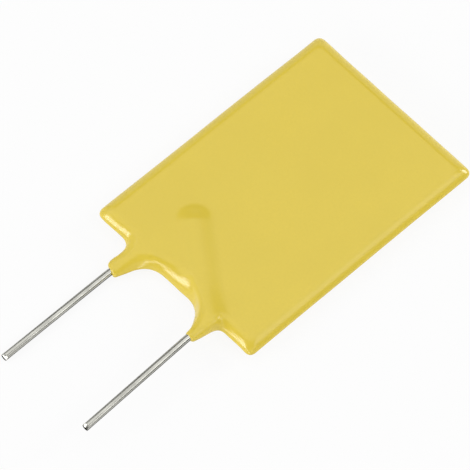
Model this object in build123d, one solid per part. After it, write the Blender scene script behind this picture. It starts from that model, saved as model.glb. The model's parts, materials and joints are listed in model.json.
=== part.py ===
from build123d import *
import os
from math import cos, radians, sin, tan

# Flat epoxy-coated chip with two wire leads that leave its lower edge.
# It lies on its rear face: X runs across the body, the leads point to -Y, and +Z is the front face.
# The shapes are drawn about the centre of the chip, and moved to the row's origin as they are written.

# Driving dimensions, in millimetres and degrees
BODY_WIDTH = 19.9
BODY_LENGTH = 27.3
BODY_THICKNESS = 1.7
CORNER_RADIUS = 0.9
EDGE_RADIUS = 0.8

CHIP_THICKNESS = 0.9
FOIL_THICKNESS = 0.035
CHIP_CORNER_RADIUS = 0.3
EDGE_COAT = 0.9

WIRE_DIAMETER = 0.65
LEAD_PITCH = 10.2
PITCH_OFFSET = 0.075
LEAD_RUN = 10.0
LEAD_RUN_ANGLE = 36.0
CORNER_BEND_RADIUS = 1.0
EXIT_BEND_RADIUS = 5.0
TIP_BEVEL = 45.0
TIP_NIB = 0.2

# How each lead runs, seen with its own face up. Drops are distances below the body's lower edge:
# of the corner by the body, of the slight bend where the wire leaves its collar, and of the tip.
# Splays are the angles at which the covered root and the free end open away from the other lead.
FRONT_LEAD = {
    "corner_drop": 0.50, "exit_drop": 3.1, "tip_drop": 15.27,
    "root_splay": -1.0, "splay": 2.0, "bevel_roll": 0.0,
}
REAR_LEAD = {
    "corner_drop": 0.55, "exit_drop": 3.2, "tip_drop": 15.42,
    "root_splay": 3.5, "splay": -0.2, "bevel_roll": 240.0,
}

SOLDER_FILM = 0.05
SOLDER_HALF_WIDTH = 0.85
SOLDER_TOP_HALF_WIDTH = 0.28
SOLDER_HEIGHT = 0.42
SOLDER_START = 3.9
SOLDER_OVERRUN = 0.35

RIDGE_COVER = 0.15
RIDGE_HALF_WIDTH = 2.0
RIDGE_FOOT_SINK = 0.02
RIDGE_END_SETBACK = 0.15
RIDGE_INSET = 0.35

# Sections of the coating where it runs down each lead, from inside the body to its end on the wire:
# drop below the body's lower edge, reach towards the other lead, reach away from it,
# cover over the wire's axis, and depth behind that axis
FRONT_NECK = [
    (-1.3, 3.88, 1.62, 0.00, 1.30),
    (-0.7, 3.74, 1.51, 0.42, 1.35),
    (0.0, 2.80, 1.30, 0.44, 1.45),
    (0.6, 1.86, 0.79, 0.455, 1.25),
    (1.3, 1.12, 0.73, 0.455, 0.90),
    (2.0, 0.72, 0.71, 0.455, 0.68),
    (2.9, 0.47, 0.46, 0.43, 0.45),
]
REAR_NECK = [
    (-1.3, 3.50, 1.80, 0.00, 1.30),
    (-0.7, 3.44, 1.66, 0.42, 1.35),
    (0.0, 2.79, 1.36, 0.44, 1.45),
    (0.6, 2.03, 0.93, 0.455, 1.35),
    (1.3, 1.42, 0.85, 0.455, 1.05),
    (2.0, 1.02, 0.78, 0.455, 0.80),
    (3.0, 0.53, 0.50, 0.43, 0.45),
]

# Sizes that follow from them
WIRE_RADIUS = WIRE_DIAMETER / 2
FACE = BODY_THICKNESS / 2
LOWER_EDGE = -BODY_LENGTH / 2
CHIP_FACE = CHIP_THICKNESS / 2
CHIP_WIDTH = BODY_WIDTH - 2 * EDGE_COAT
CHIP_LENGTH = BODY_LENGTH - 2 * EDGE_COAT
CORE_THICKNESS = CHIP_THICKNESS - 2 * FOIL_THICKNESS
WIRE_HEIGHT = CHIP_FACE + SOLDER_FILM + WIRE_RADIUS
RIDGE_CREST = WIRE_HEIGHT + WIRE_RADIUS + RIDGE_COVER
RUN = Vector(-cos(radians(LEAD_RUN_ANGLE)), sin(radians(LEAD_RUN_ANGLE)), 0)

# The row's origin is the middle of the part's footprint, on the plane that it lies on
ROW_ORIGIN = Pos(0, (REAR_LEAD["tip_drop"] - BODY_LENGTH / 2 - LOWER_EDGE) / 2, RIDGE_CREST)


def slab(width, length, thickness, corner):
    """A flat sheet with rounded corners, centred on the origin."""
    return extrude(RectangleRounded(width, length, corner), thickness / 2, both=True)


def rolled_slab(half_thickness, inset=0.0):
    """The coated body's outline, or one inset from it, with its edges rolled over on both faces."""
    body = slab(BODY_WIDTH - 2 * inset, BODY_LENGTH - 2 * inset, 2 * half_thickness, CORNER_RADIUS)
    rims = body.faces().sort_by(Axis.Z)
    return fillet(rims[0].edges() + rims[-1].edges(), EDGE_RADIUS)


def wire_axis(exit_x, shape, drop):
    """A point on the wire's axis, at a drop below the body's lower edge."""
    past_exit = drop - shape["exit_drop"]
    slope = tan(radians(shape["splay"] if past_exit > 0 else shape["root_splay"]))
    return Vector(exit_x + past_exit * slope, LOWER_EDGE - drop, WIRE_HEIGHT)


def wire_corner(exit_x, shape):
    """Where the root's axis would meet that of the run over the chip, if the bend were sharp."""
    return wire_axis(exit_x, shape, shape["corner_drop"])


def lead(exit_x, shape):
    """Round wire: a straight free end, a covered root, a bend by the body, and a run over the chip."""
    tip = wire_axis(exit_x, shape, shape["tip_drop"])
    leaving = wire_axis(exit_x, shape, shape["exit_drop"])
    corner = wire_corner(exit_x, shape)
    bends = [EXIT_BEND_RADIUS, CORNER_BEND_RADIUS]
    route = FilletPolyline(tip, leaving, corner, corner + RUN * LEAD_RUN, radius=bends)
    wire = sweep(Plane(route @ 0, z_dir=route % 0) * Circle(WIRE_RADIUS), path=route)
    roll = radians(shape["bevel_roll"])
    aside = Vector(sin(roll), 0, cos(roll))
    facing = aside * sin(radians(TIP_BEVEL)) - Vector(0, cos(radians(TIP_BEVEL)), 0)
    shear = Plane(tip - aside * (WIRE_RADIUS - TIP_NIB), z_dir=facing)
    return split(wire, bisect_by=shear, keep=Keep.BOTTOM)


def mound(corner, half_section, start, end):
    """A section that follows the run over the chip from start to end, with round ends."""
    across = Plane((corner.X, corner.Y, 0), x_dir=Vector(0, 0, 1).cross(RUN), z_dir=RUN)
    section = half_section + mirror(half_section, about=Plane.YZ)
    shape = across.offset(start) * extrude(section, end - start)
    for station in (start, end):
        shape += across.offset(station) * revolve(half_section, Axis.Y)
    return shape


def solder_joint(corner, wire):
    """Solder fillet from the foil up both sides of the wire, and round its end."""
    top = CHIP_FACE + SOLDER_HEIGHT
    foot = (SOLDER_HALF_WIDTH, CHIP_FACE)
    outline = Polyline((0, top), (0, CHIP_FACE), foot)
    outline += TangentArc(foot, (SOLDER_TOP_HALF_WIDTH, top), tangent=(-1, 0.35))
    outline += Line((SOLDER_TOP_HALF_WIDTH, top), (0, top))
    end = LEAD_RUN + SOLDER_OVERRUN - SOLDER_HALF_WIDTH
    return mound(corner, make_face(outline), SOLDER_START, end) - wire


def ridge(corner):
    """The raised line that the wire makes in the coating's face."""
    foot = (RIDGE_HALF_WIDTH, FACE - RIDGE_FOOT_SINK)
    crest = (0, RIDGE_CREST)
    flank = (RIDGE_HALF_WIDTH / 2, (foot[1] + crest[1]) / 2)
    outline = Polyline(crest, (0, 0), (RIDGE_HALF_WIDTH, 0), foot)
    outline += TangentArc(foot, flank, tangent=(-1, 0))
    outline += TangentArc(crest, flank, tangent=(1, 0))
    swelling = mound(corner, make_face(outline), 0, LEAD_RUN - RIDGE_END_SETBACK)
    return swelling & rolled_slab(RIDGE_CREST + RIDGE_FOOT_SINK, RIDGE_INSET)


def neck(exit_x, shape, sections):
    """The coating that ran down the wire from the body's edge, tapering to a collar."""
    rings = Sketch()
    for drop, inward, outward, cover, depth in sections:
        centre = wire_axis(exit_x, shape, drop) + Vector(outward - inward, 0, cover - depth) / 2
        ring = Ellipse((inward + outward) / 2, (cover + depth) / 2)
        rings += Plane(centre, x_dir=(1, 0, 0), z_dir=(0, -1, 0)) * ring
    return loft(rings)


def lead_side(exit_x, shape, neck_sections):
    """One lead on the front face, with its solder joint and the coating's relief over it."""
    corner = wire_corner(exit_x, shape)
    wire = lead(exit_x, shape)
    return wire, solder_joint(corner, wire), ridge(corner), neck(exit_x, shape, neck_sections)


def build():
    """Every sub-part by its node's name."""
    foil = slab(CHIP_WIDTH, CHIP_LENGTH, FOIL_THICKNESS, CHIP_CORNER_RADIUS)
    foil_height = (CORE_THICKNESS + FOIL_THICKNESS) / 2
    parts = {
        "polymer_ptc_core": slab(CHIP_WIDTH, CHIP_LENGTH, CORE_THICKNESS, CHIP_CORNER_RADIUS),
        "front_foil_electrode": Pos(0, 0, foil_height) * foil,
        "rear_foil_electrode": Pos(0, 0, -foil_height) * foil,
    }
    front = lead_side(LEAD_PITCH / 2 + PITCH_OFFSET, FRONT_LEAD, FRONT_NECK)
    rear = lead_side(LEAD_PITCH / 2 - PITCH_OFFSET, REAR_LEAD, REAR_NECK)
    coating = rolled_slab(FACE)
    hollow = slab(CHIP_WIDTH, CHIP_LENGTH, CHIP_THICKNESS, CHIP_CORNER_RADIUS)
    for name, turn, side in (("front", Rot(0, 0, 0), front), ("rear", Rot(0, 180, 0), rear)):
        wire, solder, relief, drip = [turn * shape for shape in side]
        parts[f"{name}_lead"] = wire
        parts[f"{name}_solder_joint"] = solder
        coating += relief + drip
        hollow += wire + solder
    parts["epoxy_coating"] = coating - hollow
    return parts


os.makedirs("parts", exist_ok=True)
for node, shape in build().items():
    export_step(ROW_ORIGIN * shape, f"parts/{node}.step")
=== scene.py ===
import json
import math

import bmesh
import bpy
import numpy as np
from bpy.props import FloatProperty, FloatVectorProperty, IntProperty, PointerProperty
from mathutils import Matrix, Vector


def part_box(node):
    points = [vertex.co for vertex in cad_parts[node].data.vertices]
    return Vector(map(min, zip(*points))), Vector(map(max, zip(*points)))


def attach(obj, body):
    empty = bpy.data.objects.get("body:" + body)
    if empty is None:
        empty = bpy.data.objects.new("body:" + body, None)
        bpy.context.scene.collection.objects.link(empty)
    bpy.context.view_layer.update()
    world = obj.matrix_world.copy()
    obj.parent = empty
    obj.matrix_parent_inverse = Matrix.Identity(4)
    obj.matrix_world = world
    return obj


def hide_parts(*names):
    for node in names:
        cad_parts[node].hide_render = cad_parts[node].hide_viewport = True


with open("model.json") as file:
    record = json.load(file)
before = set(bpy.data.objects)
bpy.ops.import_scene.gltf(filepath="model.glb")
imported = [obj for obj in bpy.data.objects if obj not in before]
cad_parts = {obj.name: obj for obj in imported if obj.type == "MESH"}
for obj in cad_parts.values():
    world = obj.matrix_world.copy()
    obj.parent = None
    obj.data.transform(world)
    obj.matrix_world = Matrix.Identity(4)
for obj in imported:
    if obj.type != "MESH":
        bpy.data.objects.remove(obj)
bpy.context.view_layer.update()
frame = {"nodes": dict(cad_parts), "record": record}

bl_info = {
    "name": "Coated chip fuse",
    "version": (1, 0, 0),
    "blender": (4, 5, 0),
    "location": "3D View > Sidebar > Fuse",
    "description": "Dipped coating, tinned leads and finishes of a flat resettable fuse",
    "category": "Object",
}

# ---------------------------------------------------------------- what the frame says

MM = 0.001                       # one millimetre, in metres

CHIP_LOW, CHIP_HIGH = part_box("polymer_ptc_core")
COAT_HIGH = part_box("epoxy_coating")[1]
CENTRE = (CHIP_LOW + CHIP_HIGH) / 2
EDGE_COAT = COAT_HIGH.x - CHIP_HIGH.x
HALF_WIDTH = COAT_HIGH.x - CENTRE.x
HALF_LENGTH = CHIP_HIGH.y - CENTRE.y + EDGE_COAT
PINS = {mount["name"]: mount for mount in frame["record"]["mounts"]}
WIRE_RADIUS = PINS["front_lead_pin"]["dims"]["r_mm"] * MM
WIRE_HEIGHT = PINS["front_lead_pin"]["pos_m"][2] - CENTRE.z
ROOT = "root"

# Each lead as it is seen with its own face up. Side is +1 on the front face and -1 on the rear one,
# where X and Z turn over together. Drops are distances below the body's lower edge, in millimetres:
# of the corner by the body, and of the end of the coating's collar, which slants across the wire.
# The root splay is in degrees. The knuckle is the coating's extra height over the corner, in
# millimetres, and the bevel faces the way that its vector points in the frame.
# Neck rows: drop, reach towards the other lead, reach away from it, and height of its back.
LEADS = {
    "front": {
        "side": 1, "corner_drop": 0.51, "root_splay": -1.0,
        "collar_drop": 2.85, "collar_slant": 0.0, "knuckle": 0.12, "bevel": (0, 0, 1),
        "neck": (
            (-1.0, 3.30, 1.95, -0.85),
            (-0.4, 2.80, 1.38, -0.80),
            (0.0, 2.32, 1.05, -0.68),
            (0.6, 1.62, 0.81, -0.42),
            (1.3, 1.03, 0.76, -0.10),
            (2.0, 0.63, 0.70, 0.16),
            (2.9, 0.45, 0.55, 0.36),
        ),
    },
    "rear": {
        "side": -1, "corner_drop": 0.55, "root_splay": 3.5,
        "collar_drop": 2.85, "collar_slant": 0.3, "knuckle": 0.0, "bevel": (0.5, 0, 0.866),
        "neck": (
            (-1.0, 3.45, 1.95, -0.85),
            (-0.4, 3.06, 1.50, -0.80),
            (0.0, 2.60, 1.15, -0.68),
            (0.6, 1.95, 0.80, -0.44),
            (1.3, 1.47, 0.74, -0.16),
            (2.0, 1.18, 0.82, 0.10),
            (3.0, 0.75, 0.60, 0.36),
        ),
    },
}

# How far each side of the dipped outline stands out past its straight line, or falls short of it:
# place along the side, reach to either hand, and amount, in millimetres.
SWELLS = {
    "left": ((11.0, 3.0, -0.03), (-9.5, 3.0, -0.03)),
    "right": ((10.5, 3.5, 0.03),),
    "far": ((-8.7, 2.0, 0.05), (0.0, 12.0, 0.05), (6.6, 2.2, 0.03)),
    "near": ((-8.6, 1.6, 0.08), (-0.8, 1.3, -0.09), (1.8, 2.0, -0.22), (8.6, 1.6, -0.13)),
}

# The lights that face the body's middle: direction from it, distance, width and height in metres,
# and radiance as a share of one of the stage's settings.
LIGHTS = {
    "left_softbox": ((-0.39, -0.85, 0.34), 0.6, 0.19, 0.25, "side_light", 0.74),
    "lower_strip": ((0.22, -0.95, 0.33), 0.6, 0.64, 0.09, "side_light", 0.52),
    "right_softbox": ((0.33, 0.86, 0.38), 0.6, 0.23, 0.21, "side_light", 1.0),
    "left_panel": ((-0.85, -0.35, 0.40), 0.8, 0.80, 0.60, "fill_light", 0.45),
    "front_panel": ((0.82, -0.42, 0.38), 0.8, 1.10, 0.70, "fill_light", 0.48),
    "back_panel": ((0.64, 0.333, 0.69), 0.8, 0.44, 0.34, "fill_light", 1.3),
    "far_panel": ((-0.62, 0.72, 0.26), 0.8, 1.10, 0.40, "fill_light", 0.5),
}


# ---------------------------------------------------------------- settings

class CoatingSettings(bpy.types.PropertyGroup):
    """Sizes and colour of the dipped epoxy coating."""
    face_height: FloatProperty(
        name="Face height", description="From the middle of the chip to the coating's plain face",
        default=0.85 * MM, min=0.5 * MM, max=2 * MM, precision=5, subtype="DISTANCE", unit="LENGTH")
    edge_roll: FloatProperty(
        name="Edge roll", description="How far in from the outline the face starts to roll over",
        default=1.15 * MM, min=0.3 * MM, max=3 * MM, precision=5, subtype="DISTANCE", unit="LENGTH")
    corner_radius: FloatProperty(
        name="Corner radius", description="Radius of the outline's four corners",
        default=0.65 * MM, min=0.2 * MM, max=4 * MM, precision=5, subtype="DISTANCE", unit="LENGTH")
    ridge_relief: FloatProperty(
        name="Ridge relief", description="How far the coating stands up over each buried wire",
        default=0.36 * MM, min=0, max=1 * MM, precision=5, subtype="DISTANCE", unit="LENGTH")
    ridge_reach: FloatProperty(
        name="Ridge reach", description="From the crest of the raised line to its foot on the face",
        default=2.0 * MM, min=0.8 * MM, max=4 * MM, precision=5, subtype="DISTANCE", unit="LENGTH")
    fine_step: FloatProperty(
        name="Fine step", description="Mesh spacing at the edges and down the necks",
        default=0.1 * MM, min=0.05 * MM, max=0.5 * MM, precision=5,
        subtype="DISTANCE", unit="LENGTH")
    coarse_step: FloatProperty(
        name="Coarse step", description="Mesh spacing on the open faces",
        default=0.22 * MM, min=0.1 * MM, max=1 * MM, precision=5, subtype="DISTANCE", unit="LENGTH")
    colour: FloatVectorProperty(
        name="Colour", description="Pigment of the cured epoxy", subtype="COLOR",
        default=(0.81, 0.622, 0.069), min=0, max=1)
    roughness: FloatProperty(
        name="Roughness", description="Roughness of the cured surface", subtype="FACTOR",
        default=0.2, min=0, max=1)


class LeadSettings(bpy.types.PropertyGroup):
    """Sizes and colour of the two tinned wires."""
    run_angle: FloatProperty(
        name="Run angle", description="Slope of the buried stretch against the body's lower edge",
        default=math.radians(35.8), min=0, max=math.radians(80), subtype="ANGLE", unit="ROTATION")
    run_length: FloatProperty(
        name="Run length", description="Length of the buried stretch over the chip",
        default=10.1 * MM, min=2 * MM, max=20 * MM, precision=5, subtype="DISTANCE", unit="LENGTH")
    corner_bend: FloatProperty(
        name="Corner bend", description="Radius of the bend by the body",
        default=1 * MM, min=0.4 * MM, max=5 * MM, precision=5, subtype="DISTANCE", unit="LENGTH")
    exit_bend: FloatProperty(
        name="Exit bend", description="Radius of the slight bend where the wire leaves its collar",
        default=5 * MM, min=1 * MM, max=20 * MM, precision=5, subtype="DISTANCE", unit="LENGTH")
    tip_bevel: FloatProperty(
        name="Tip bevel", description="Angle of the cut across each wire's end",
        default=math.radians(50), min=0, max=math.radians(80), subtype="ANGLE", unit="ROTATION")
    tip_nib: FloatProperty(
        name="Tip nib", description="Thickness that the slanted cut leaves at the very end",
        default=0.42 * MM, min=0.05 * MM, max=0.6 * MM, precision=5,
        subtype="DISTANCE", unit="LENGTH")
    segments: IntProperty(
        name="Segments", description="Flats round each wire", default=40, min=12, max=96)
    colour: FloatVectorProperty(
        name="Colour", description="Tin plating", subtype="COLOR",
        default=(0.68, 0.675, 0.615), min=0, max=1)
    roughness: FloatProperty(
        name="Roughness", description="Roughness of the plating", subtype="FACTOR",
        default=0.23, min=0, max=1)


class StageSettings(bpy.types.PropertyGroup):
    """Floor, lights and camera."""
    floor_size: FloatProperty(
        name="Floor size", description="Side of the floor", default=4.0, min=0.5, max=20,
        subtype="DISTANCE", unit="LENGTH")
    floor_glow: FloatProperty(
        name="Floor glow", description="Share of the floor's white that no shadow darkens",
        subtype="FACTOR", default=0.9, min=0, max=1)
    ambient: FloatProperty(
        name="Ambient", description="Brightness of the room", default=0.06, min=0, max=2)
    overhead_light: FloatProperty(
        name="Overhead light", description="Radiance of the level panel above",
        default=1.0, min=0, max=20)
    panel_height: FloatProperty(
        name="Panel height", description="Of the overhead panel above the object",
        default=0.6, min=0.1, max=5, subtype="DISTANCE", unit="LENGTH")
    panel_reach: FloatVectorProperty(
        name="Panel reach",
        description="How far the overhead panel goes: near side, far side, left and right",
        default=(-0.16, 0.46, -0.75, 0.40), size=4, unit="LENGTH")
    side_light: FloatProperty(
        name="Side light",
        description="Radiance that the softboxes and the strip take their shares of",
        default=9.5, min=0, max=60)
    fill_light: FloatProperty(
        name="Fill light", description="Radiance that the wide, dim panels take their shares of",
        default=1.3, min=0, max=20)
    view_elevation: FloatProperty(
        name="View elevation", description="Camera's height angle over the floor",
        default=math.radians(60.714), subtype="ANGLE", unit="ROTATION")
    view_azimuth: FloatProperty(
        name="View azimuth", description="Camera's turn round the vertical from the leads' side",
        default=math.radians(47.085), subtype="ANGLE", unit="ROTATION")
    view_distance: FloatProperty(
        name="View distance", description="From the camera to the point that it looks at",
        default=0.32854, subtype="DISTANCE", unit="LENGTH")
    view_target: FloatVectorProperty(
        name="View target", description="Point in the frame that the camera looks at",
        default=(0.000117, 0.0015, 0.001322), precision=6, subtype="TRANSLATION", unit="LENGTH")
    focal_length: FloatProperty(
        name="Focal length", description="Of the lens, in millimetres, on a 36 mm sensor",
        default=283.4, min=10, max=1000)


# ---------------------------------------------------------------- shading nodes

def add_node(tree, kind, inputs=None, **settings):
    """A node of that kind. An input given as a socket is linked, and any other value is set."""
    node = tree.nodes.new(kind)
    for key, value in settings.items():
        setattr(node, key, value)
    for key, value in (inputs or {}).items():
        if isinstance(value, bpy.types.NodeSocket):
            tree.links.new(value, node.inputs[key])
        else:
            node.inputs[key].default_value = value
    return node


def blank_material(name):
    """A new material with nothing but its output, and the tree, output and object coordinates."""
    material = bpy.data.materials.new(name)
    material.use_nodes = True
    tree = material.node_tree
    tree.nodes.clear()
    output = add_node(tree, "ShaderNodeOutputMaterial")
    place = add_node(tree, "ShaderNodeTexCoord").outputs["Object"]
    return material, tree, output, place


def noise(tree, place, size, detail=2.0, roughness=0.5, stretch=(1, 1, 1)):
    """Noise whose features are about that size, in metres, and longer along a stretched axis."""
    scaled = add_node(tree, "ShaderNodeMapping", {
        "Vector": place, "Scale": [1 / (size * factor) for factor in stretch]})
    texture = add_node(tree, "ShaderNodeTexNoise", {
        "Vector": scaled.outputs["Vector"], "Scale": 1.0, "Detail": detail, "Roughness": roughness})
    return texture.outputs["Fac"]


def spread(tree, value, low, high, source_low=0.3, source_high=0.7):
    """The value's usual range, mapped to low and high."""
    mapped = add_node(tree, "ShaderNodeMapRange", {
        "Value": value, "From Min": source_low, "From Max": source_high,
        "To Min": low, "To Max": high})
    return mapped.outputs["Result"]


def blend_colours(tree, factor, first, second):
    """The first colour where the factor is 0 and the second where it is 1."""
    mix = add_node(tree, "ShaderNodeMix", data_type="RGBA")
    # By number, because the node has sockets of the same names for each type of data
    for socket, value in ((mix.inputs[0], factor), (mix.inputs[6], first), (mix.inputs[7], second)):
        if isinstance(value, bpy.types.NodeSocket):
            tree.links.new(value, socket)
        else:
            socket.default_value = value
    return mix.outputs[2]


def tinted(colour, factor):
    """The colour made lighter or darker, as four numbers."""
    return [min(channel * factor, 1.0) for channel in colour] + [1.0]


def epoxy_material(settings):
    """Satin cured epoxy: an even pigment with faint clouds, fine grain and a slight orange peel."""
    material, tree, output, place = blank_material("cured_epoxy")
    deep, pale, dusky = [tinted(settings.colour, factor) for factor in (0.985, 1.015, 0.96)]
    clouds = noise(tree, place, 5 * MM, detail=2)
    grain = noise(tree, place, 0.22 * MM, detail=3)
    cloudy = blend_colours(tree, spread(tree, clouds, 0, 1), deep, pale)
    grainy = blend_colours(tree, spread(tree, grain, 0, 0.5), cloudy, dusky)
    peel = noise(tree, place, 0.9 * MM, detail=2)
    bump = add_node(tree, "ShaderNodeBump", {
        "Height": peel, "Strength": 0.12, "Distance": 0.01 * MM})
    shader = add_node(tree, "ShaderNodeBsdfPrincipled", {
        "Base Color": grainy, "Normal": bump.outputs["Normal"], "IOR": 1.57,
        "Roughness": spread(tree, grain, settings.roughness - 0.03, settings.roughness + 0.05)})
    tree.links.new(shader.outputs["BSDF"], output.inputs["Surface"])
    return material


def tinned_wire_material(settings):
    """Tin plating on drawn wire: faint draw lines, cloudy tone, dull specks, and painted shade that
    darkens its flanks.
    """
    material, tree, output, place = blank_material("tinned_wire")
    lines = noise(tree, place, 0.05 * MM, detail=3, stretch=(1, 60, 1))
    clouds = noise(tree, place, 0.7 * MM, detail=4, roughness=0.6, stretch=(1, 2.5, 1))
    specks = noise(tree, place, 0.12 * MM, detail=3, roughness=0.7)
    # The last of these tones is the painted shade put on the wire's sides
    bright, dull, dark, flank_shade_tone = [
        tinted(settings.colour, factor) for factor in (1.1, 0.78, 0.5, 0.18)]
    toned = blend_colours(tree, spread(tree, clouds, 0, 1), dull, bright)
    lined = blend_colours(tree, spread(tree, lines, 0, 0.45), toned, dull)
    speckled = blend_colours(tree, spread(tree, specks, 0, 0.6, 0.62, 0.75), lined, dark)
    # Painted shade: the colour darkens towards the wire's sides, the further the surface turns from
    # facing up
    facing = add_node(tree, "ShaderNodeTexCoord").outputs["Normal"]
    upward = add_node(tree, "ShaderNodeSeparateXYZ", {"Vector": facing}).outputs["Z"]
    painted_flank_shade = spread(tree, upward, 1, 0, 0.05, 0.5)
    flank_shaded = blend_colours(tree, painted_flank_shade, speckled, flank_shade_tone)
    relief = add_node(tree, "ShaderNodeMath", {0: lines, 1: specks}, operation="ADD")
    bump = add_node(tree, "ShaderNodeBump", {
        "Height": relief.outputs[0], "Strength": 0.35, "Distance": 0.008 * MM})
    shader = add_node(tree, "ShaderNodeBsdfPrincipled", {
        "Base Color": flank_shaded, "Metallic": 1.0, "Specular Tint": (0.1, 0.1, 0.1, 1.0),
        "Normal": bump.outputs["Normal"],
        "Roughness": spread(tree, clouds, settings.roughness + 0.06, settings.roughness - 0.06)})
    tree.links.new(shader.outputs["BSDF"], output.inputs["Surface"])
    return material


def inner_material(name, colour, metallic, roughness, grain_size, contrast, stretch=(1, 1, 1)):
    """A grained finish for the pieces that the coating seals in."""
    material, tree, output, place = blank_material(name)
    grain = noise(tree, place, grain_size, detail=4, roughness=0.6, stretch=stretch)
    toned = blend_colours(
        tree, spread(tree, grain, 0, 1), tinted(colour, 1 - contrast), tinted(colour, 1 + contrast))
    bump = add_node(tree, "ShaderNodeBump", {
        "Height": grain, "Strength": 0.3, "Distance": 0.01 * MM})
    shader = add_node(tree, "ShaderNodeBsdfPrincipled", {
        "Base Color": toned, "Metallic": metallic, "Normal": bump.outputs["Normal"],
        "Roughness": spread(tree, grain, roughness + 0.05, roughness - 0.05)})
    tree.links.new(shader.outputs["BSDF"], output.inputs["Surface"])
    return material


# ---------------------------------------------------------------- the coating, in millimetres

def smooth_step(value):
    """0 below 0, 1 above 1, and an even ease between."""
    t = np.clip(value, 0, 1)
    return t * t * (3 - 2 * t)


def ramp(value, start, end):
    """0 at the start and before it, 1 at the end and past it, and an even ease between."""
    return smooth_step((value - start) / (end - start))


def smooth_union(first, second, reach):
    """The nearer of two surfaces, filleted where they are within reach of each other."""
    near = np.clip(reach - np.abs(first - second), 0, None)
    return np.minimum(first, second) - near * near / (4 * reach)


def smooth_cut(field, cutter, reach):
    """What is inside both, with a rounded rim."""
    return -smooth_union(-field, -cutter, reach)


def through(rows, column, drop):
    """One column of the neck rows at each drop, on a smooth curve through them."""
    table = np.array(rows)
    drops, values = table[:, 0], table[:, column]
    slopes = np.gradient(values, drops)
    drop = np.clip(drop, drops[0], drops[-1])
    i = np.clip(np.searchsorted(drops, drop) - 1, 0, len(drops) - 2)
    span = drops[i + 1] - drops[i]
    t = (drop - drops[i]) / span
    return (values[i] * (1 + 2 * t) * (1 - t) ** 2 + slopes[i] * span * t * (1 - t) ** 2
            + values[i + 1] * t * t * (3 - 2 * t) + slopes[i + 1] * span * t * t * (t - 1))


class LeadPath:
    """A lead's axis in millimetres about the chip's centre, as it is seen with its own face up."""

    def __init__(self, name, settings):
        lead = LEADS[name]
        pin = PINS[f"{name}_lead_pin"]
        self.side = lead["side"]
        self.neck = lead["neck"]
        self.collar_drop = lead["collar_drop"]
        self.collar_slant = lead["collar_slant"]
        self.knuckle = lead["knuckle"]
        middle = (Vector(pin["pos_m"]) - CENTRE) / MM
        along = Vector(pin["axis"])
        half = pin["dims"]["length_mm"] / 2
        self.root_slope = math.tan(math.radians(lead["root_splay"]))
        self.free_slope = -along.x * self.side / along.y
        kink = math.atan(self.free_slope) - math.atan(self.root_slope)
        bend_length = settings.exit_bend / MM * math.tan(abs(kink) / 2)
        leaving = middle - along * (half + bend_length)
        tip = middle + along * half
        self.leaving = np.array([leaving.x * self.side, leaving.y])
        self.tip = np.array([tip.x * self.side, tip.y])
        self.lower_edge = -HALF_LENGTH / MM
        corner_y = self.lower_edge - lead["corner_drop"]
        self.corner = np.array([self.axis_x(np.array(corner_y)), corner_y])
        direction = np.array([-math.cos(settings.run_angle), math.sin(settings.run_angle)])
        self.run_end = self.corner + direction * settings.run_length / MM

    def axis_x(self, y):
        """Where the root's or the free end's axis is at that Y."""
        past = self.leaving[1] - y
        return self.leaving[0] + past * np.where(past > 0, self.free_slope, self.root_slope)

    def distance(self, x, y, end):
        """Plan distance from the straight stretch between the corner by the body and that end."""
        span = end - self.corner
        east, north = x - self.corner[0], y - self.corner[1]
        t = np.clip((east * span[0] + north * span[1]) / (span @ span), 0, 1)
        return np.hypot(east - t * span[0], north - t * span[1])


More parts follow.
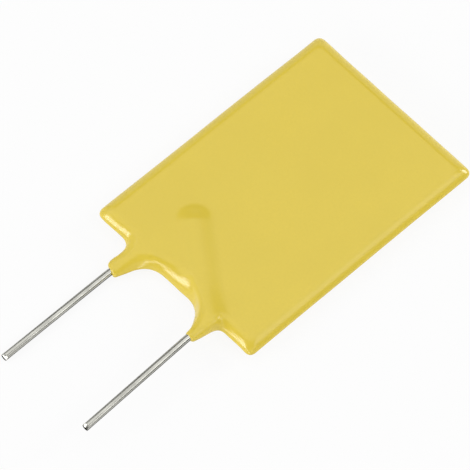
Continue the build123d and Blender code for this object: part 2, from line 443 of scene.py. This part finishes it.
class CoatingField:
    """Signed field of the coating about the chip's centre: negative inside and zero at its skin."""

    # Fillets: of the outline's corners as a multiple of their radius, between the body and a neck,
    # between a wire's run and its root, between their two rolls, and round the collar's end
    CORNER_REACH = 1.17
    WEB_BLEND = 0.5
    WIRE_BLEND = 0.8
    ROLL_BLEND = 0.3
    COLLAR_ROUND = 0.28

    # The necks: the drop at which their own outline starts, the step that its slope is taken over,
    # and the distances from the wire at which the coating's back has lifted fully and not at all
    WEB_START = -4.0
    SLOPE_STEP = 0.05
    LIFTED, LEVEL = 1.1, 3.3

    # How far in from the wire's corner by the body the knuckle's middle lies, and its reach
    KNUCKLE_INSET = 0.6
    KNUCKLE_REACH = 2.1

    # The edge's fuller section over a wire: how much fuller, how far to each side, and the drops
    # from which and over which it fades
    FULLNESS = 1.3
    FULL_REACH = 0.7
    FULL_DROP = 0.3
    FULL_FADE = 1.5

    # Away from the wires the edge's section is flatter than a round one: how much, and the
    # distances from a wire between which that sets in
    EDGE_FLATNESS = 0.5
    ROUND_WITHIN, FLAT_PAST = 0.45, 1.25

    # The lower edge's middle lies nearer the rear face: how much, and between which drops
    EDGE_SINK = 0.05
    SINK_FROM, SINK_TO = -2.0, 1.5

    # The bay is the stretch of that edge between the leads: where it sets in and is full from the
    # left, the right and the body's middle, and its extra sink, wider roll and rounder section
    BAY_LEFT = (-4.4, 0.8)
    BAY_RIGHT = (6.2, 2.2)
    BAY_TOP = (0.0, -10.0)
    BAY_SINK = 0.5
    BAY_ROLL = 0.6
    BAY_ROUNDNESS = 0.35

    # The unevenness: its height, how many waves add up to it, their lengths, and the seed
    RIPPLE_HEIGHT = 0.0035
    RIPPLE_WAVES = 7
    RIPPLE_LENGTHS = (4.5, 11)
    RIPPLE_SEED = 11

    def __init__(self, coating, leads):
        self.face = coating.face_height / MM
        self.roll = coating.edge_roll / MM
        self.corner = coating.corner_radius / MM
        self.relief = coating.ridge_relief / MM
        self.reach = coating.ridge_reach / MM
        self.paths = [LeadPath(name, leads) for name in LEADS]
        random = np.random.default_rng(self.RIPPLE_SEED)
        count = self.RIPPLE_WAVES
        bearings = random.uniform(0, math.pi, count)
        self.waves = 2 * math.pi / random.uniform(*self.RIPPLE_LENGTHS, count)
        self.bearings = np.stack([np.cos(bearings), np.sin(bearings), random.uniform(-1, 1, count)])
        self.phases = random.uniform(0, 2 * math.pi, count)

    def ripple(self, x, y, z):
        """The slight unevenness that a dipped surface dries with."""
        total = 0
        for wave, bearing, phase in zip(self.waves, self.bearings.T, self.phases):
            along = x * bearing[0] + y * bearing[1] + z * bearing[2]
            total = total + np.sin(wave * along + phase)
        return total * self.RIPPLE_HEIGHT

    def swell(self, along, low_side, high_side, across):
        """How far the outline stands out on the side that is nearer, at that place along it."""
        return np.where(across < 0, *(
            sum(amount * np.exp(-((along - place) / reach) ** 2)
                for place, reach, amount in SWELLS[side])
            for side in (low_side, high_side)))

    def outline(self, x, y):
        """Plan distance outside the body's own outline."""
        across = HALF_WIDTH / MM + self.swell(y, "left", "right", x) - np.abs(x)
        along = HALF_LENGTH / MM + self.swell(x, "near", "far", y) - np.abs(y)
        return -smooth_union(across, along, self.CORNER_REACH * self.corner)

    def crest(self, path, plan, x, y):
        """How far the face stands up over one buried wire, at that plan distance from it."""
        aside, inward = x - path.corner[0], y - path.corner[1] - self.KNUCKLE_INSET
        knuckle = path.knuckle * np.exp(-(aside ** 2 + inward ** 2) / self.KNUCKLE_REACH ** 2)
        return self.relief * (1 - ramp(plan, 0, self.reach)) + knuckle

    def neck(self, path, x, y):
        """Plan distance outside one neck, half its width, and how far its back has lifted."""
        drop = path.lower_edge - y
        across = x - path.axis_x(y)
        rows, next_rows = [
            [through(path.neck, column, place) for column in (1, 2)]
            for place in (drop, drop + self.SLOPE_STEP)]
        reach, next_reach = np.where(across < 0, *rows), np.where(across < 0, *next_rows)
        slope = (next_reach - reach) / self.SLOPE_STEP
        outside = (np.abs(across) - reach) / np.hypot(1, slope)
        back = through(path.neck, 3, drop) + self.face
        lift = back * ramp(np.abs(across), self.LEVEL, self.LIFTED)
        return np.maximum(outside, self.WEB_START - drop), sum(rows) / 2, lift

    def fullness(self, path, plan, y):
        """How much fuller the edge's section is where it has to clear a wire."""
        radius = WIRE_RADIUS / MM
        beside = ramp(plan, radius, radius + self.FULL_REACH)
        past = ramp(path.lower_edge - y, self.FULL_DROP, self.FULL_DROP + self.FULL_FADE)
        return self.FULLNESS * (1 - beside) * (1 - past)

    def __call__(self, x, y, z):
        """The field at those points."""
        outline = self.outline(x, y)
        drop = -HALF_LENGTH / MM - y
        in_bay = ramp(x, *self.BAY_LEFT) * ramp(x, *self.BAY_RIGHT) * ramp(y, *self.BAY_TOP)
        near_edge = ramp(drop, self.SINK_FROM, 0) * (1 - ramp(drop, 0, self.SINK_TO))
        roll = self.roll + self.BAY_ROLL * in_bay
        faces = []
        full = 1
        clear = 1
        collar = -np.inf
        for path in self.paths:
            own_x = x * path.side
            below = own_x > 0
            outside, half, lift = self.neck(path, own_x, y)
            outline = np.where(below, smooth_union(outline, outside, self.WEB_BLEND), outline)
            roll = np.where(below, smooth_union(roll, half, self.ROLL_BLEND), roll)
            plan = smooth_union(
                path.distance(own_x, y, path.run_end), path.distance(own_x, y, path.leaving),
                self.WIRE_BLEND)
            clear = clear * ramp(plan, self.ROUND_WITHIN, self.FLAT_PAST)
            faces.append((self.face + self.crest(path, plan, own_x, y), np.where(below, lift, 0)))
            full = full + self.fullness(path, plan, y) * ramp(path.side * z, 0, self.face)
            end = drop - path.collar_drop + path.collar_slant * (own_x - path.axis_x(y))
            collar = np.where(below, end, collar)
        (front, front_lift), (rear, rear_lift) = faces
        top, bottom = front - rear_lift, -rear + front_lift
        equator = (top + bottom) / 2 - (self.EDGE_SINK + self.BAY_SINK * in_bay) * near_edge
        height = np.where(z > equator, top - equator, equator - bottom)
        over = np.maximum(outline + roll, 0) / roll
        rise = np.maximum(np.abs(z - equator) / height, 1e-6)
        power = 2 - self.EDGE_FLATNESS * clear * (1 - self.BAY_ROUNDNESS * in_bay)
        section = (over ** (power * full) + rise ** power) ** (1 / power)
        body = (section - 1) * np.minimum(self.face, roll)
        return smooth_cut(body + self.ripple(x, y, z), collar, self.COLLAR_ROUND)

    def gradient(self, x, y, z, step=0.01):
        """Central differences of the field."""
        return np.stack([
            self(x + step, y, z) - self(x - step, y, z),
            self(x, y + step, z) - self(x, y - step, z),
            self(x, y, z + step) - self(x, y, z - step)]) / (2 * step)


# ---------------------------------------------------------------- mesh making

def stations(low, high, zones, fine, coarse, growth=0.25):
    """Grid lines from low to high: fine in the zones, and growing coarser away from them."""
    lines = [low]
    while lines[-1] < high:
        here = lines[-1]
        gap = min(max(start - here, here - end, 0) for start, end in zones)
        lines.append(here + min(coarse, fine + growth * gap))
    return np.array(lines)


def skin(field, grid):
    """Vertices and quads of the field's zero surface, one vertex in each cell that it crosses."""
    xs, ys, zs = grid
    value = field(*np.meshgrid(xs, ys, zs, indexing="ij"))
    inside = value < 0
    cells = [n - 1 for n in value.shape]
    total = np.zeros(cells + [3])
    count = np.zeros(cells)
    crossings = []
    for axis in range(3):
        ahead = [slice(None)] * 3
        behind = [slice(None)] * 3
        ahead[axis] = slice(1, None)
        behind[axis] = slice(None, -1)
        first, second = value[tuple(behind)], value[tuple(ahead)]
        crossed = inside[tuple(behind)] != inside[tuple(ahead)]
        share = np.where(crossed, first / np.where(crossed, first - second, 1), 0)
        points = list(np.meshgrid(
            *[line[:-1] if k == axis else line for k, line in enumerate(grid)], indexing="ij"))
        gaps = np.diff(grid[axis]).reshape([-1 if k == axis else 1 for k in range(3)])
        points[axis] = points[axis] + share * gaps
        points = np.stack(points, -1)
        others = [k for k in range(3) if k != axis]
        for i in (0, 1):
            for j in (0, 1):
                window = [slice(None)] * 3
                window[others[0]] = slice(i, i + cells[others[0]])
                window[others[1]] = slice(j, j + cells[others[1]])
                hit = crossed[tuple(window)]
                total += np.where(hit[..., None], points[tuple(window)], 0)
                count += hit
        crossings.append((axis, others, crossed, inside[tuple(behind)]))
    used = count > 0
    index = np.full(cells, -1)
    index[used] = np.arange(used.sum())
    vertices = total[used] / count[used][:, None]
    quads = []
    for axis, others, crossed, leaving in crossings:
        inner = [slice(None)] * 3
        inner[others[0]] = slice(1, -1)
        inner[others[1]] = slice(1, -1)
        places = np.argwhere(crossed[tuple(inner)])
        outward = leaving[tuple(inner)][tuple(places.T)]
        corners = []
        for i, j in ((0, 0), (1, 0), (1, 1), (0, 1)):
            cell = places.copy()
            cell[:, others[0]] += i
            cell[:, others[1]] += j
            corners.append(index[tuple(cell.T)])
        loop = np.stack(corners, -1)
        flip = outward if axis == 1 else ~outward
        loop[flip] = loop[flip][:, ::-1]
        quads.append(loop)
    return vertices, np.concatenate(quads)


def settle(vertices, field, rounds=4, longest=0.08):
    """Each vertex moved along the field's slope until it lies on the surface."""
    points = vertices.T.copy()
    for _ in range(rounds):
        slope = field.gradient(*points)
        steepness = np.maximum((slope ** 2).sum(0), 1e-6)
        move = -field(*points) * slope / steepness
        length = np.maximum(np.sqrt((move ** 2).sum(0)), 1e-9)
        points += move * np.minimum(1, longest / length)
    return points.T


def mesh_object(name, vertices, faces, material):
    """An object at the origin, smooth shaded, from points in metres."""
    mesh = bpy.data.meshes.new(name)
    loops = [tuple(int(i) for i in face) for face in faces]
    mesh.from_pydata([tuple(v) for v in vertices], [], loops)
    mesh.materials.append(material)
    mesh.validate()
    mesh.shade_smooth()
    piece = bpy.data.objects.new(name, mesh)
    bpy.context.scene.collection.objects.link(piece)
    return piece


def filleted(points, radii, turn_step=math.radians(5)):
    """Points along straight runs joined by arcs of those radii, in a plane."""
    route = [np.array(points[0])]
    for before, corner, after, radius in zip(points, points[1:], points[2:], radii):
        back = (before - corner) / np.linalg.norm(before - corner)
        ahead = (after - corner) / np.linalg.norm(after - corner)
        turn = math.pi - math.acos(np.clip(back @ ahead, -1, 1))
        middle = back + ahead
        middle = middle / np.linalg.norm(middle)
        centre = corner + middle * radius / math.cos(turn / 2)
        start = corner + back * radius * math.tan(turn / 2) - centre
        swing = math.copysign(turn, back[0] * ahead[1] - back[1] * ahead[0]) * -1
        steps = max(2, math.ceil(turn / turn_step))
        for k in range(steps + 1):
            angle = swing * k / steps
            turned = np.array([
                start[0] * math.cos(angle) - start[1] * math.sin(angle),
                start[0] * math.sin(angle) + start[1] * math.cos(angle)])
            route.append(centre + turned)
    route.append(np.array(points[-1]))
    return np.array(route)


def tube(route, radius, segments):
    """Vertices and faces of a round bar along a flat route, closed at both ends."""
    along = np.gradient(route, axis=0)
    along /= np.linalg.norm(along, axis=1)[:, None]
    angles = np.arange(segments) * 2 * math.pi / segments
    aside = np.stack([along[:, 1], -along[:, 0], np.zeros(len(route))], -1)
    middle = np.column_stack([route, np.zeros(len(route))])
    ring = (aside[:, None, :] * np.cos(angles)[None, :, None]
            + np.array([0, 0, 1])[None, None, :] * np.sin(angles)[None, :, None])
    vertices = (middle[:, None, :] + radius * ring).reshape(-1, 3)
    faces = []
    for i in range(len(route) - 1):
        for j in range(segments):
            k = (j + 1) % segments
            faces.append((
                i * segments + j, i * segments + k, (i + 1) * segments + k, (i + 1) * segments + j))
    last = (len(route) - 1) * segments
    faces.append(tuple(range(segments - 1, -1, -1)))
    faces.append(tuple(range(last, last + segments)))
    return vertices, faces


def shear_tip(piece, point, facing, soften):
    """Cuts the wire's end on a slant, closes it, and softens the cut's rim."""
    rim_angle, sharp_angle = math.radians(25), math.radians(40)
    mesh = piece.data
    form = bmesh.new()
    form.from_mesh(mesh)
    cut = bmesh.ops.bisect_plane(
        form, geom=form.verts[:] + form.edges[:] + form.faces[:], plane_co=point, plane_no=facing,
        clear_outer=True)
    rim = [item for item in cut["geom_cut"] if isinstance(item, bmesh.types.BMEdge)]
    bmesh.ops.edgeloop_fill(form, edges=rim)
    bmesh.ops.recalc_face_normals(form, faces=form.faces)
    corners = [
        edge for edge in form.edges if edge.is_manifold and edge.calc_face_angle() > rim_angle]
    bmesh.ops.bevel(form, geom=corners, offset=soften, segments=2, profile=0.5, affect="EDGES")
    form.to_mesh(mesh)
    form.free()
    mesh.shade_smooth()
    mesh.set_sharp_from_angle(angle=sharp_angle)


# ---------------------------------------------------------------- operators

class FUSE_OT_coat_chip(bpy.types.Operator):
    """Make the dipped coating, with a ridge over each buried wire and a neck down each lead"""
    bl_idname = "fuse.coat_chip"
    bl_label = "Coat the chip"

    # In millimetres: the free space round the coating in the grid, and how far in from the roll and
    # to each side of a wire the grid is fine
    MARGIN = 0.4
    EDGE_ZONE = 0.3
    NECK_ZONE = 2.2

    def grid(self, field, fine, coarse):
        """Grid lines along each axis: fine at the edges and the necks, coarser on the faces."""
        side, end = HALF_WIDTH / MM + self.MARGIN, HALF_LENGTH / MM + self.MARGIN
        zone = self.MARGIN + field.roll + self.EDGE_ZONE
        lowest = -end - max(path.collar_drop for path in field.paths)
        middles = [path.side * path.leaving[0] for path in field.paths]
        necks = [(middle - self.NECK_ZONE, middle + self.NECK_ZONE) for middle in middles]
        edges = [(-side, -side + zone), (side - zone, side)]
        top = field.face + field.relief + self.MARGIN
        return (
            stations(-side, side, edges + necks, fine, coarse),
            stations(lowest, end, [(lowest, -end + zone), (end - zone, end)], fine, coarse),
            stations(-top, top, [(-top, top)], fine, fine))

    def execute(self, context):
        settings = context.scene.fuse_coating
        field = CoatingField(settings, context.scene.fuse_leads)
        grid = self.grid(field, settings.fine_step / MM, settings.coarse_step / MM)
        vertices, faces = skin(field, grid)
        vertices = settle(vertices, field)
        piece = mesh_object(
            "dipped_coating", vertices * MM + np.array(CENTRE), faces, epoxy_material(settings))
        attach(piece, ROOT)
        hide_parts("epoxy_coating")
        return {"FINISHED"}


class FUSE_OT_draw_leads(bpy.types.Operator):
    """Make the two bent wires with their sheared tips"""
    bl_idname = "fuse.draw_leads"
    bl_label = "Draw the leads"

    RIM_SOFTNESS = 0.02 * MM

    def execute(self, context):
        settings = context.scene.fuse_leads
        material = tinned_wire_material(settings)
        radius = WIRE_RADIUS / MM
        for name, lead in LEADS.items():
            pin = PINS[f"{name}_lead_pin"]
            path = LeadPath(name, settings)
            bends = (settings.exit_bend / MM, settings.corner_bend / MM)
            route = filleted([path.tip, path.leaving, path.corner, path.run_end], bends)
            vertices, faces = tube(route, radius, settings.segments)
            turn = np.array([path.side, 1, path.side])
            vertices = (vertices + np.array([0, 0, WIRE_HEIGHT / MM])) * turn
            piece = mesh_object(f"{name}_wire", vertices * MM + np.array(CENTRE), faces, material)
            aside = Vector(lead["bevel"]).normalized()
            along = Vector(pin["axis"])
            tip = Vector(pin["pos_m"]) + along * (pin["dims"]["length_mm"] * MM / 2)
            nib = tip - aside * (WIRE_RADIUS - settings.tip_nib)
            facing = aside * math.sin(settings.tip_bevel) + along * math.cos(settings.tip_bevel)
            shear_tip(piece, nib, facing, self.RIM_SOFTNESS)
            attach(piece, ROOT)
            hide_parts(f"{name}_lead")
        return {"FINISHED"}


class FUSE_OT_finish_inner_pieces(bpy.types.Operator):
    """Give the sealed chip, foils and solder joints their own finishes"""
    bl_idname = "fuse.finish_inner_pieces"
    bl_label = "Finish the inner pieces"

    def execute(self, context):
        polymer = inner_material(
            "carbon_filled_polymer", (0.02, 0.02, 0.021), 0.0, 0.6, 0.15 * MM, 0.3)
        foil = inner_material(
            "nickel_foil", (0.55, 0.53, 0.49), 1.0, 0.35, 0.08 * MM, 0.12, stretch=(1, 30, 1))
        solder = inner_material("reflowed_solder", (0.6, 0.6, 0.61), 1.0, 0.3, 0.25 * MM, 0.15)
        finishes = {
            "polymer_ptc_core": polymer,
            "front_foil_electrode": foil, "rear_foil_electrode": foil,
            "front_solder_joint": solder, "rear_solder_joint": solder,
        }
        for node, material in finishes.items():
            piece = frame["nodes"][node]
            if not piece.material_slots:
                raise RuntimeError(f"{node} has no material slot")
            for material_slot in piece.material_slots:
                material_slot.link = "OBJECT"
                material_slot.material = material
        return {"FINISHED"}


class FUSE_OT_set_stage(bpy.types.Operator):
    """Lay the pale floor, hang the lights and place the camera"""
    bl_idname = "fuse.set_stage"
    bl_label = "Set the stage"

    def execute(self, context):
        settings = context.scene.fuse_stage
        self.lay_floor(settings)
        self.set_room(context.scene, settings)
        self.hang_panel("overhead_panel", settings)
        for name, (direction, distance, width, height, setting, share) in LIGHTS.items():
            radiance = getattr(settings, setting) * share
            self.hang_light(name, Vector(direction).normalized(), distance, width, height, radiance)
        self.place_camera(context.scene, settings)
        return {"FINISHED"}

    def lay_floor(self, settings):
        """A white floor that stays white to the camera but keeps the object's shadow."""
        half = settings.floor_size / 2
        corners = [(-half, -half, 0), (half, -half, 0), (half, half, 0), (-half, half, 0)]
        material, tree, output, _ = blank_material("white_floor")
        rays = add_node(tree, "ShaderNodeLightPath")
        seen = add_node(tree, "ShaderNodeMath", {
            0: rays.outputs["Is Camera Ray"], 1: rays.outputs["Is Glossy Ray"]},
            operation="MAXIMUM")
        seen = add_node(tree, "ShaderNodeMath", {
            0: seen.outputs[0], 1: rays.outputs["Is Transmission Ray"]}, operation="MAXIMUM")
        share = add_node(tree, "ShaderNodeMath", {
            0: seen.outputs[0], 1: settings.floor_glow}, operation="MULTIPLY")
        matt = add_node(tree, "ShaderNodeBsdfDiffuse", {"Color": (0.9, 0.9, 0.9, 1)})
        glow = add_node(tree, "ShaderNodeEmission", {"Color": (1, 1, 1, 1), "Strength": 1.0})
        surface = add_node(tree, "ShaderNodeMixShader", {
            0: share.outputs[0], 1: matt.outputs[0], 2: glow.outputs[0]})
        tree.links.new(surface.outputs[0], output.inputs["Surface"])
        mesh_object("studio_floor", corners, [(0, 1, 2, 3)], material)

    def set_room(self, scene, settings):
        """An even, dim room round the lights."""
        world = bpy.data.worlds.new("dim_room")
        world.use_nodes = True
        world.node_tree.nodes["Background"].inputs["Color"].default_value = (1, 1, 1, 1)
        world.node_tree.nodes["Background"].inputs["Strength"].default_value = settings.ambient
        scene.world = world

    def area_light(self, name, width, height, radiance):
        """A rectangular light of that radiance, not yet placed."""
        lamp = bpy.data.lights.new(name, "AREA")
        lamp.shape = "RECTANGLE"
        lamp.size = width
        lamp.size_y = height
        lamp.energy = radiance * math.pi * width * height
        light = bpy.data.objects.new(name, lamp)
        bpy.context.scene.collection.objects.link(light)
        return light

    def hang_panel(self, name, settings):
        """The level panel overhead, square to the view, that goes on well beyond the object."""
        near, far, left, right = settings.panel_reach
        light = self.area_light(name, right - left, far - near, settings.overhead_light)
        turn = settings.view_azimuth
        ahead, aside = (near + far) / 2, (left + right) / 2
        light.location = CENTRE + Vector((
            aside * math.cos(turn) - ahead * math.sin(turn),
            aside * math.sin(turn) + ahead * math.cos(turn), settings.panel_height))
        light.rotation_euler = (0, 0, turn)

    def hang_light(self, name, towards, distance, width, height, radiance):
        """A light that faces the body's middle from that direction."""
        light = self.area_light(name, width, height, radiance)
        light.location = CENTRE + towards * distance
        light.rotation_euler = towards.to_track_quat("Z", "Y").to_euler()

    def place_camera(self, scene, settings):
        """The camera looks down over the near corner, from the leads' right."""
        lens = bpy.data.cameras.new("view")
        lens.sensor_width = 36
        lens.lens = settings.focal_length
        lens.clip_start = 0.01
        lens.clip_end = 20
        camera = bpy.data.objects.new("view", lens)
        up, turn = settings.view_elevation, settings.view_azimuth
        back = Vector((math.sin(turn) * math.cos(up), -math.cos(turn) * math.cos(up), math.sin(up)))
        camera.location = Vector(settings.view_target) + back * settings.view_distance
        camera.rotation_euler = (math.pi / 2 - up, 0, turn)
        scene.collection.objects.link(camera)
        scene.camera = camera
        scene.view_settings.view_transform = "Standard"


class FUSE_PT_panel(bpy.types.Panel):
    """Lists the steps that dress the fuse, and their sizes and colours"""
    bl_label = "Coated chip fuse"
    bl_idname = "FUSE_PT_panel"
    bl_space_type = "VIEW_3D"
    bl_region_type = "UI"
    bl_category = "Fuse"

    def draw(self, context):
        for settings_name, operators in STEPS:
            box = self.layout.box()
            for operator in operators:
                box.operator(operator.bl_idname)
            settings = getattr(context.scene, settings_name)
            for key in settings.__annotations__:
                box.prop(settings, key)


SETTINGS = {
    "fuse_coating": CoatingSettings,
    "fuse_leads": LeadSettings,
    "fuse_stage": StageSettings,
}
STEPS = (
    ("fuse_coating", (FUSE_OT_coat_chip,)),
    ("fuse_leads", (FUSE_OT_draw_leads, FUSE_OT_finish_inner_pieces)),
    ("fuse_stage", (FUSE_OT_set_stage,)),
)
CLASSES = (
    *SETTINGS.values(), FUSE_OT_coat_chip, FUSE_OT_draw_leads, FUSE_OT_finish_inner_pieces,
    FUSE_OT_set_stage, FUSE_PT_panel,
)


def register():
    """Adds the classes and the scene's settings."""
    for part in CLASSES:
        bpy.utils.register_class(part)
    for name, group in SETTINGS.items():
        setattr(bpy.types.Scene, name, PointerProperty(type=group))


def unregister():
    """Takes them away again."""
    for name in SETTINGS:
        delattr(bpy.types.Scene, name)
    for part in reversed(CLASSES):
        bpy.utils.unregister_class(part)


def main():
    """Builds the dressed part round the frame."""
    register()
    bpy.ops.fuse.coat_chip()
    bpy.ops.fuse.draw_leads()
    bpy.ops.fuse.finish_inner_pieces()
    bpy.ops.fuse.set_stage()


if __name__ == "__main__":
    main()
